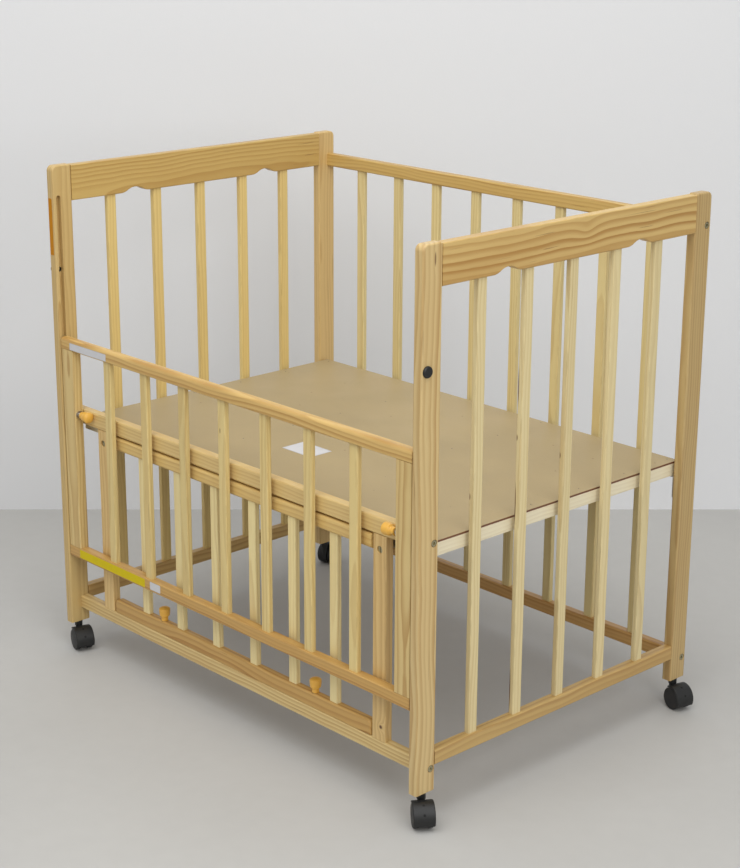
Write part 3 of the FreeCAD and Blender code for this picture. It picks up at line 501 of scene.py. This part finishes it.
def growth_rings(graph, piece, wood, index, look, swirl):
    """How dark the late wood is at a point, from 0 to 1: lines on one face of a sawn piece, arches on another."""
    grain, u, v = wood
    chance = graph.random(index, piece.seed, 3.0)
    drift_u = (graph.noise(grain * DRIFT + chance[0] * PATTERNS_APART, index, 1.0) - 0.5) * look.wander
    drift_v = (graph.noise(grain * DRIFT + chance[1] * PATTERNS_APART, index, 9.0) - 0.5) * look.wander
    wobble = (graph.streaks(wood, WOBBLE, aside=index) - 0.5) * WOBBLE_SIZE
    sway = (graph.streaks(wood, SWAY, aside=index) - 0.5) * SWAY_SIZE * piece.ring
    off_u = u + drift_u + (chance[0] - 0.5) * HEART_BESIDE
    off_v = v + drift_v + HEART_BELOW[0] + chance[1] * HEART_BELOW[1]
    rings = ((off_u ** 2 + off_v ** 2).root() + wobble + sway) / (look.ring * piece.ring) + swirl
    rings = rings + graph.noise(rings * UNEVEN_FINENESS, index, 5.0) * UNEVEN_SIZE
    phase = rings.fraction()
    strength = FAINTEST_RING + graph.random(rings - phase, index, 8.0)[0] * (1 - FAINTEST_RING)
    return phase.step(*LATE_START) * phase.step(*LATE_END) * strength


def pine(node, piece, early, late):
    """Lacquered pine, with growth rings, fibres, resin flecks, a few scratches and worn long edges."""
    look = bpy.context.scene.crib_wood
    graph = Graph("pine_" + node)
    wood, (half_u, half_v), index = local_place(graph, node, piece)
    early, late = piece.tinted(early), piece.tinted(late)
    heart, swirl = mark_fields(graph, piece)
    dark = growth_rings(graph, piece, wood, index, look, swirl)
    fibre = graph.streaks(wood, FIBRE)
    tone = graph.streaks(wood, TONE, ahead=index)
    flecks = graph.streaks(wood, FLECKS, ahead=index).step(*FLECKS.fade)
    scratch = graph.streaks(wood, SCRATCHES, ahead=index * 3).step(*SCRATCHES.fade)
    near_u = (wood[1].size() - half_u).step(*WORN_EDGE)
    near_v = (wood[2].size() - half_v).step(*WORN_EDGE)
    wear = near_u * near_v * graph.streaks(wood, WEAR, ahead=index).step(*WEAR.fade)
    chance = graph.random(index, piece.seed, 6.0)[0]
    colour = graph.mix(dark * look.ring_dark * piece.figure, early, late)
    colour = graph.mix(tone.step(*TONE.fade) * look.tone_dark * piece.figure, colour, late)
    colour = graph.mix(flecks * look.fleck_dark, colour, late)
    colour = graph.mix(scratch * look.scratch_dark, colour, look.knot)
    light = 0.90 + fibre * 0.10 + chance * 0.10 + tone * 0.06 - wear * 0.16
    colour = graph.scale(colour, light)
    if piece.marks:
        colour = graph.mix(heart, colour, look.knot)
    relief = graph.bump(dark * 0.5 + fibre * 0.35 - scratch * 1.2 - wear * 0.6, distance=0.00025, strength=0.35)
    roughness = look.roughness + fibre * 0.10 - dark * 0.06 + wear * 0.15 + scratch * 0.2
    return graph.finish(Base_Color=colour, Roughness=roughness, Normal=relief, Coat_Weight=look.coat)


def hardboard():
    """Smooth tan hardboard, with a mottle of pressed fibres, faint scuffs and rubs, and dark sawn edges."""
    look = bpy.context.scene.crib_wood
    graph = Graph("hardboard")
    x, y, z = graph.place()
    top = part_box("bed_board")[1].z
    mottle = graph.noise(x * 9, y * 9, 1.0, detail=3.0)
    specks = graph.noise(x * 420, y * 420, 2.0, detail=3.0)
    hairs = graph.noise(x * 60, y * 700, 3.0)
    rubs = graph.noise(x * 2.4 + 4, y * 2.4, 5.0, detail=5.0).step(0.50, 0.68)
    flecks = graph.noise(x * 160, y * 160, 7.0, detail=1.0).step(0.76, 0.82)
    light = 0.80 + mottle * 0.22 + specks * 0.14 + hairs * 0.08 + rubs * 0.08 - flecks * 0.35
    edge = z.step(*(top - depth for depth in EDGE_COLOUR_DEPTHS))
    layers = graph.noise(x * 40, y * 40, z * 3000)
    spots = 0.0
    for spot_x, spot_y in BOARD_SPOTS:
        spots = spots + (((x - spot_x) ** 2 + (y - spot_y) ** 2).root() / SPOT).step(1.0, 0.6)
    colour = graph.mix(spots * look.spot_dark, look.board, look.board_edge)
    colour = graph.mix(edge, colour, graph.scale(look.board_edge, 0.7 + layers * 0.6))
    relief = graph.bump(specks + hairs * 0.5 + edge * layers * 2.0, distance=0.0002, strength=0.25)
    return graph.finish(Base_Color=graph.scale(colour, light), Roughness=0.46 + mottle * 0.12 - rubs * 0.05,
                        Normal=relief)


def metal(name, colour, roughness):
    """Zinc-plated steel, with a cloudy plating and fine wear."""
    graph = Graph(name)
    place = graph.place()
    clouds = graph.grit(place, fineness=260, detail=3.0)
    relief = graph.bump(graph.grit(place, fineness=2600), distance=0.00005, strength=0.4)
    return graph.finish(Base_Color=graph.scale(colour, 0.82 + clouds * 0.34), Metallic=1.0,
                        Roughness=roughness + clouds * 0.16, Normal=relief)


def plastic(name, colour, roughness, grain, corner=None):
    """Moulded plastic, with a fine texture and slight scuffs, and a caster's two recesses in painted shade where a
    corner is given.
    """
    graph = Graph(name)
    place = graph.place()
    skin = graph.grit(place, fineness=1500)
    scuffs = graph.grit(place, fineness=70, detail=4.0)
    light, dent_and_shade = 0.90 + scuffs * 0.24, 0.0
    if corner:
        dent_and_shade = recesses(corner, *place)
        # Painted shade: the colour is darkened almost to black in each recess, on top of the bump that sinks it
        light = light * (1 - dent_and_shade * 0.95)
    return graph.finish(Base_Color=graph.scale(colour, light), Roughness=roughness + scuffs * 0.14 + dent_and_shade * 0.3,
                        Normal=graph.bump(skin - dent_and_shade * 3.0, distance=grain, strength=0.5))


def recesses(corner, x, y, z):
    """Two small recesses down the middle of a caster's hood, on the side that its wheels trail to, for their bump and
    their painted shade.
    """
    turn = math.radians(CASTER_TURNS[corner])
    low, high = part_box(corner + "_caster_wheels")
    axle = (low + high) / 2
    off_x, off_y = x - axle.x, y - axle.y
    along = off_x * math.cos(turn) + off_y * math.sin(turn)
    aside = off_y * math.cos(turn) - off_x * math.sin(turn)
    dent_and_shade = 0.0
    for degrees in RECESS_ANGLES:
        angle = math.radians(degrees)
        reach, rise = RECESS_DISTANCE * math.cos(angle), RECESS_DISTANCE * math.sin(angle)
        away = ((along - reach) ** 2 + aside ** 2 + (z - axle.z - rise) ** 2).root()
        dent_and_shade = dent_and_shade + (away / RECESS).step(1.0, 0.7)
    return dent_and_shade


def paper(name, colour, shine=0.5):
    """Blank printed film of a label, a little worn."""
    graph = Graph(name)
    wear = graph.grit(graph.place(), fineness=120, detail=4.0)
    return graph.finish(Base_Color=graph.scale(colour, 0.92 + wear * 0.14), Roughness=0.34 + wear * 0.2,
                        Specular_IOR_Level=shine)


def dress(node, material):
    """Gives a CAD node one material."""
    data = NODES[node].data
    data.materials.clear()
    data.materials.append(material)


# ---- Modelling helpers ----

def start_box(name, low, high):
    """A box between two corners, added as the only selected object, in edit mode."""
    bpy.ops.object.select_all(action="DESELECT")
    centre = (Vector(low) + Vector(high)) / 2
    bpy.ops.mesh.primitive_cube_add(size=1.0, location=centre, scale=Vector(high) - Vector(low))
    piece = bpy.context.object
    piece.name = name
    bpy.ops.object.transform_apply(location=True, rotation=True, scale=True)
    bpy.ops.object.mode_set(mode="EDIT")
    return piece


def pick_faces(piece, test):
    """Selects only the faces whose centre and normal pass a test."""
    bpy.ops.mesh.select_mode(type="FACE")
    bpy.ops.mesh.select_all(action="DESELECT")
    mesh = bmesh.from_edit_mesh(piece.data)
    for face in mesh.faces:
        face.select_set(test(face.calc_center_median(), face.normal))
    bmesh.update_edit_mesh(piece.data)


def pick_edges(piece, test):
    """Selects only the edges whose two ends pass a test."""
    bpy.ops.mesh.select_mode(type="EDGE")
    bpy.ops.mesh.select_all(action="DESELECT")
    mesh = bmesh.from_edit_mesh(piece.data)
    for edge in mesh.edges:
        edge.select_set(test(edge.verts[0].co, edge.verts[1].co))
    bmesh.update_edit_mesh(piece.data)


def label(name, low, high, normal, body, margin, face, rim):
    """A thin label with round corners, and a rim of the margin's material round its blank face."""
    piece = start_box(name, low, high)
    pick_edges(piece, lambda a, b: (a - b).normalized().cross(normal).length < ALONG)
    bpy.ops.mesh.bevel(offset=LABEL_CORNER, segments=LABEL_CORNER_STEPS, affect="EDGES")
    pick_faces(piece, lambda centre, facing: facing.dot(normal) > FACING)
    bpy.ops.mesh.inset(thickness=rim)
    piece.data.materials.append(margin)
    piece.data.materials.append(face)
    piece.active_material_index = 1
    bpy.ops.object.material_slot_assign()
    bpy.ops.object.mode_set(mode="OBJECT")
    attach(piece, body)


# ---- Operators ----

class CribOperator:
    """What all of the crib's operators share."""
    bl_options = {"REGISTER", "UNDO"}


class CRIB_OT_wood(CribOperator, bpy.types.Operator):
    """Lacquered pine on the posts, rails and slats, and raw pine under the bed"""
    bl_idname = "crib.wood"
    bl_label = "Pine"

    def execute(self, context):
        look = context.scene.crib_wood
        for node, piece in PINE.items():
            dress(node, pine(node, piece, look.early, look.late))
        pale = [(first + second) / 2 for first, second in zip(look.raw, look.late)]
        for node, piece in RAW_PINE.items():
            dress(node, pine(node, piece, look.raw, pale))
        return {"FINISHED"}


class CRIB_OT_board(CribOperator, bpy.types.Operator):
    """Hardboard on the bed, with the heads of its brads and a blank label"""
    bl_idname = "crib.board"
    bl_label = "Bed board"

    def execute(self, context):
        look = context.scene.crib_label
        dress("bed_board", hardboard())
        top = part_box("bed_board")[1].z
        low, high = BOARD_LABEL
        label("board_label", (*low, top), (*high, top + LABEL_THICK), Vector((0, 0, 1)), "frame",
              paper("label_margin", look.margin), paper("label_white", look.paper), BOARD_LABEL_RIM)
        self.brads(context, top)
        return {"FINISHED"}

    def brads(self, context, top):
        """Small flat heads along the rails that carry the board, all in one piece."""
        low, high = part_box("bed_board")
        rail_low, rail_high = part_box("bed_cross_rails")
        pitch_x = (rail_high.x - rail_low.x - CROSS_RAIL) / (CROSS_RAILS - 1)
        inset_y = (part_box("bed_long_rails")[1].y - rail_high.y) / 2
        pitch_y = (high.y - low.y - 2 * inset_y) / (BRADS_PER_RAIL - 1)
        rows = [rail_low.x + CROSS_RAIL / 2 + pitch_x * step for step in range(CROSS_RAILS)]
        places = [(x, low.y + inset_y + pitch_y * step) for x in rows for step in range(BRADS_PER_RAIL)]
        bpy.ops.object.select_all(action="DESELECT")
        heads = []
        for x, y in places:
            bpy.ops.mesh.primitive_cylinder_add(vertices=BRAD_SIDES, radius=BRAD, depth=BRAD_THICK,
                                                location=(x, y, top + BRAD_THICK / 2))
            heads.append(context.object)
        for head in heads:
            head.select_set(True)
        bpy.ops.object.join()
        piece = context.object
        piece.name = "board_brads"
        bpy.ops.object.transform_apply(location=True, rotation=True, scale=True)
        bpy.ops.object.mode_set(mode="EDIT")
        pick_edges(piece, lambda a, b: min(a.z, b.z) > top + BRAD_THICK / 2)
        bpy.ops.mesh.bevel(offset=BRAD_THICK / 2, segments=2, affect="EDGES")
        bpy.ops.object.mode_set(mode="OBJECT")
        piece.data.materials.append(metal("brad_steel", context.scene.crib_fitting.brad, roughness=0.42))
        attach(piece, "frame")


class CRIB_OT_fittings(CribOperator, bpy.types.Operator):
    """Zinc bolts, pins and brackets, yellow knobs, and black casters and bushes"""
    bl_idname = "crib.fittings"
    bl_label = "Fittings"

    def execute(self, context):
        look = context.scene.crib_fitting
        zinc = metal("zinc_plate", look.zinc, roughness=0.30)
        for node in ("bed_brackets", "bracket_screws", "jamb_studs", "gate_guide_pins", "plunger_bushes",
                     "door_pivot_pins", "left_plunger_pin", "right_plunger_pin", "left_lift_pin", "right_lift_pin"):
            dress(node, zinc)
        passivated = metal("yellow_zinc", look.passivated, roughness=0.34)
        for node in ("frame_bolts", "barrel_nuts"):
            dress(node, passivated)
        knob = plastic("yellow_plastic", look.knob, roughness=0.26, grain=0.00002)
        for node in ("left_plunger_knob", "right_plunger_knob", "left_lift_knob", "right_lift_knob"):
            dress(node, knob)
        black = plastic("black_plastic", look.black, roughness=0.38, grain=0.00005)
        tread = plastic("tread_plastic", look.tread, roughness=0.46, grain=0.00005)
        for node in ("caster_sockets", "catch_bushes"):
            dress(node, black)
        for corner in CASTER_TURNS:
            hood = plastic(corner + "_hood", look.black, roughness=0.42, grain=0.00005, corner=corner)
            dress(corner + "_caster_body", hood)
            dress(corner + "_caster_wheels", tread)
            dress(corner + "_caster_stem", zinc)
            dress(corner + "_caster_axle", zinc)
        return {"FINISHED"}


class CRIB_OT_labels(CribOperator, bpy.types.Operator):
    """Blank labels on the gate's rails and on the front post"""
    bl_idname = "crib.labels"
    bl_label = "Blank labels"

    def execute(self, context):
        look = context.scene.crib_label
        forward = Vector((0, -1, 0))
        white = paper("label_edge", look.margin), paper("label_paper", look.paper)
        yellow = [paper(name, look.yellow, STRIP_SHINE) for name in ("strip_edge", "strip_yellow")]
        orange = [paper(name, look.orange, STRIP_SHINE) for name in ("post_strip_edge", "strip_orange")]
        films = {"gate_label": white, "gate_strip": yellow, "gate_tag": white}
        for name, (rail, (left, right), below, above, rim) in GATE_LABELS.items():
            low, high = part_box(rail)
            label(name, (left, low.y - LABEL_THICK, low.z + below), (right, low.y, high.z - above), forward, "gate",
                  *films[name], rim)
        low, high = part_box("left_front_post")
        left, right = (low.x + side for side in POST_STRIP_SIDES)
        bottom, top = (high.z - end for end in POST_STRIP_ENDS)
        label("post_strip", (left, low.y - LABEL_THICK, bottom), (right, low.y, top), forward, "frame", *orange,
              POST_STRIP_RIM)
        return {"FINISHED"}


class CRIB_OT_stage(CribOperator, bpy.types.Operator):
    """A pale floor and wall, soft lamps and the camera"""
    bl_idname = "crib.stage"
    bl_label = "Stage"

    def execute(self, context):
        look = context.scene.crib_stage
        self.floor(look)
        self.wall(look)
        self.lamps(context, look)
        self.camera(context, look)
        context.scene.view_settings.view_transform = "Standard"
        return {"FINISHED"}

    def plane(self, name, size, location, rotation, material):
        """A flat sheet of the stage."""
        bpy.ops.object.select_all(action="DESELECT")
        bpy.ops.mesh.primitive_plane_add(size=size, location=location, rotation=rotation)
        sheet = bpy.context.object
        sheet.name = name
        sheet.data.materials.append(material)

    def floor(self, look):
        """A plain pale floor, a little cloudy."""
        graph = Graph("floor")
        x, y, _ = graph.place()
        clouds = graph.noise(x * 1.6, y * 1.6, 1.0, detail=5.0)
        specks = graph.noise(x * 30, y * 30, 2.0, detail=4.0)
        light = 0.90 + clouds * 0.14 + specks * 0.06
        material = graph.finish(Base_Color=graph.scale(look.floor, light), Roughness=0.55 + clouds * 0.2)
        self.plane("floor", FLOOR_SIZE, (0, 0, 0), (0, 0, 0), material)

    def wall(self, look):
        """A plain wall close behind the crib, seen from its front only."""
        graph = Graph("wall")
        place = graph.place()
        clouds = graph.grit(place, fineness=0.8, detail=3.0)
        relief = graph.bump(graph.grit(place, fineness=300), distance=0.0004, strength=0.3)
        material = graph.finish(Base_Color=graph.scale(look.wall, 0.97 + clouds * 0.06), Roughness=0.9, Normal=relief)
        behind = graph.add("ShaderNodeNewGeometry", output="Backfacing")
        clear = graph.add("ShaderNodeBsdfTransparent")
        painted = Value(graph, graph.shader.outputs[0])
        seen = graph.add("ShaderNodeMixShader", inputs={0: behind, 1: painted, 2: clear})
        graph.feed(graph.tree.nodes["Material Output"].inputs["Surface"], seen)
        self.plane("wall", WALL_SIZE, look.wall_foot, (math.pi / 2, 0, look.wall_turn), material)

    def lamps(self, context, look):
        """The even light of the room and two large soft lamps."""
        world = context.scene.world or bpy.data.worlds.new("room")
        context.scene.world = world
        world.use_nodes = True
        background = world.node_tree.nodes["Background"]
        background.inputs["Color"].default_value = ROOM_COLOUR
        background.inputs["Strength"].default_value = look.sky
        for name, (size, place) in LAMPS.items():
            bpy.ops.object.select_all(action="DESELECT")
            bpy.ops.object.light_add(type="AREA", location=place)
            lamp = bpy.context.object
            lamp.name = name
            lamp.data.energy = getattr(look, name)
            lamp.data.size = size
            aim = Vector(LAMP_AIM) - Vector(place)
            lamp.rotation_euler = aim.to_track_quat("-Z", "Y").to_euler()

    def camera(self, context, look):
        """The camera, turned about its own line of sight last."""
        bpy.ops.object.select_all(action="DESELECT")
        bpy.ops.object.camera_add(location=look.camera)
        camera = bpy.context.object
        turn = Matrix.Rotation(look.azimuth, 4, "Z") @ Matrix.Rotation(math.pi / 2 - look.elevation, 4, "X")
        camera.rotation_euler = (turn @ Matrix.Rotation(look.roll, 4, "Z")).to_euler()
        camera.data.lens = look.lens
        context.scene.camera = camera


class CRIB_PT_panel(bpy.types.Panel):
    """Lists the crib's finishes and stage"""
    bl_idname = "CRIB_PT_panel"
    bl_label = "Crib"
    bl_space_type = "VIEW_3D"
    bl_region_type = "UI"
    bl_category = "Crib"

    def draw(self, context):
        for group in SETTINGS:
            settings = getattr(context.scene, group)
            column = self.layout.column()
            for name in settings.bl_rna.properties.keys():
                if name not in ("rna_type", "name"):
                    column.prop(settings, name)
        for operator in OPERATORS:
            self.layout.operator(operator.bl_idname)


SETTINGS = {
    "crib_wood": CribWoodSettings,
    "crib_fitting": CribFittingSettings,
    "crib_label": CribLabelSettings,
    "crib_stage": CribStageSettings,
}
OPERATORS = (CRIB_OT_wood, CRIB_OT_board, CRIB_OT_fittings, CRIB_OT_labels, CRIB_OT_stage)


def register():
    """Adds the settings, the operators and the panel to Blender."""
    for name, group in SETTINGS.items():
        bpy.utils.register_class(group)
        setattr(bpy.types.Scene, name, bpy.props.PointerProperty(type=group))
    for operator in OPERATORS:
        bpy.utils.register_class(operator)
    bpy.utils.register_class(CRIB_PT_panel)


def unregister():
    """Takes them out again."""
    bpy.utils.unregister_class(CRIB_PT_panel)
    for operator in reversed(OPERATORS):
        bpy.utils.unregister_class(operator)
    for name, group in SETTINGS.items():
        delattr(bpy.types.Scene, name)
        bpy.utils.unregister_class(group)


def main():
    """Dresses the crib."""
    register()
    bpy.ops.crib.wood()
    bpy.ops.crib.board()
    bpy.ops.crib.fittings()
    bpy.ops.crib.labels()
    bpy.ops.crib.stage()


if __name__ == "__main__":
    main()
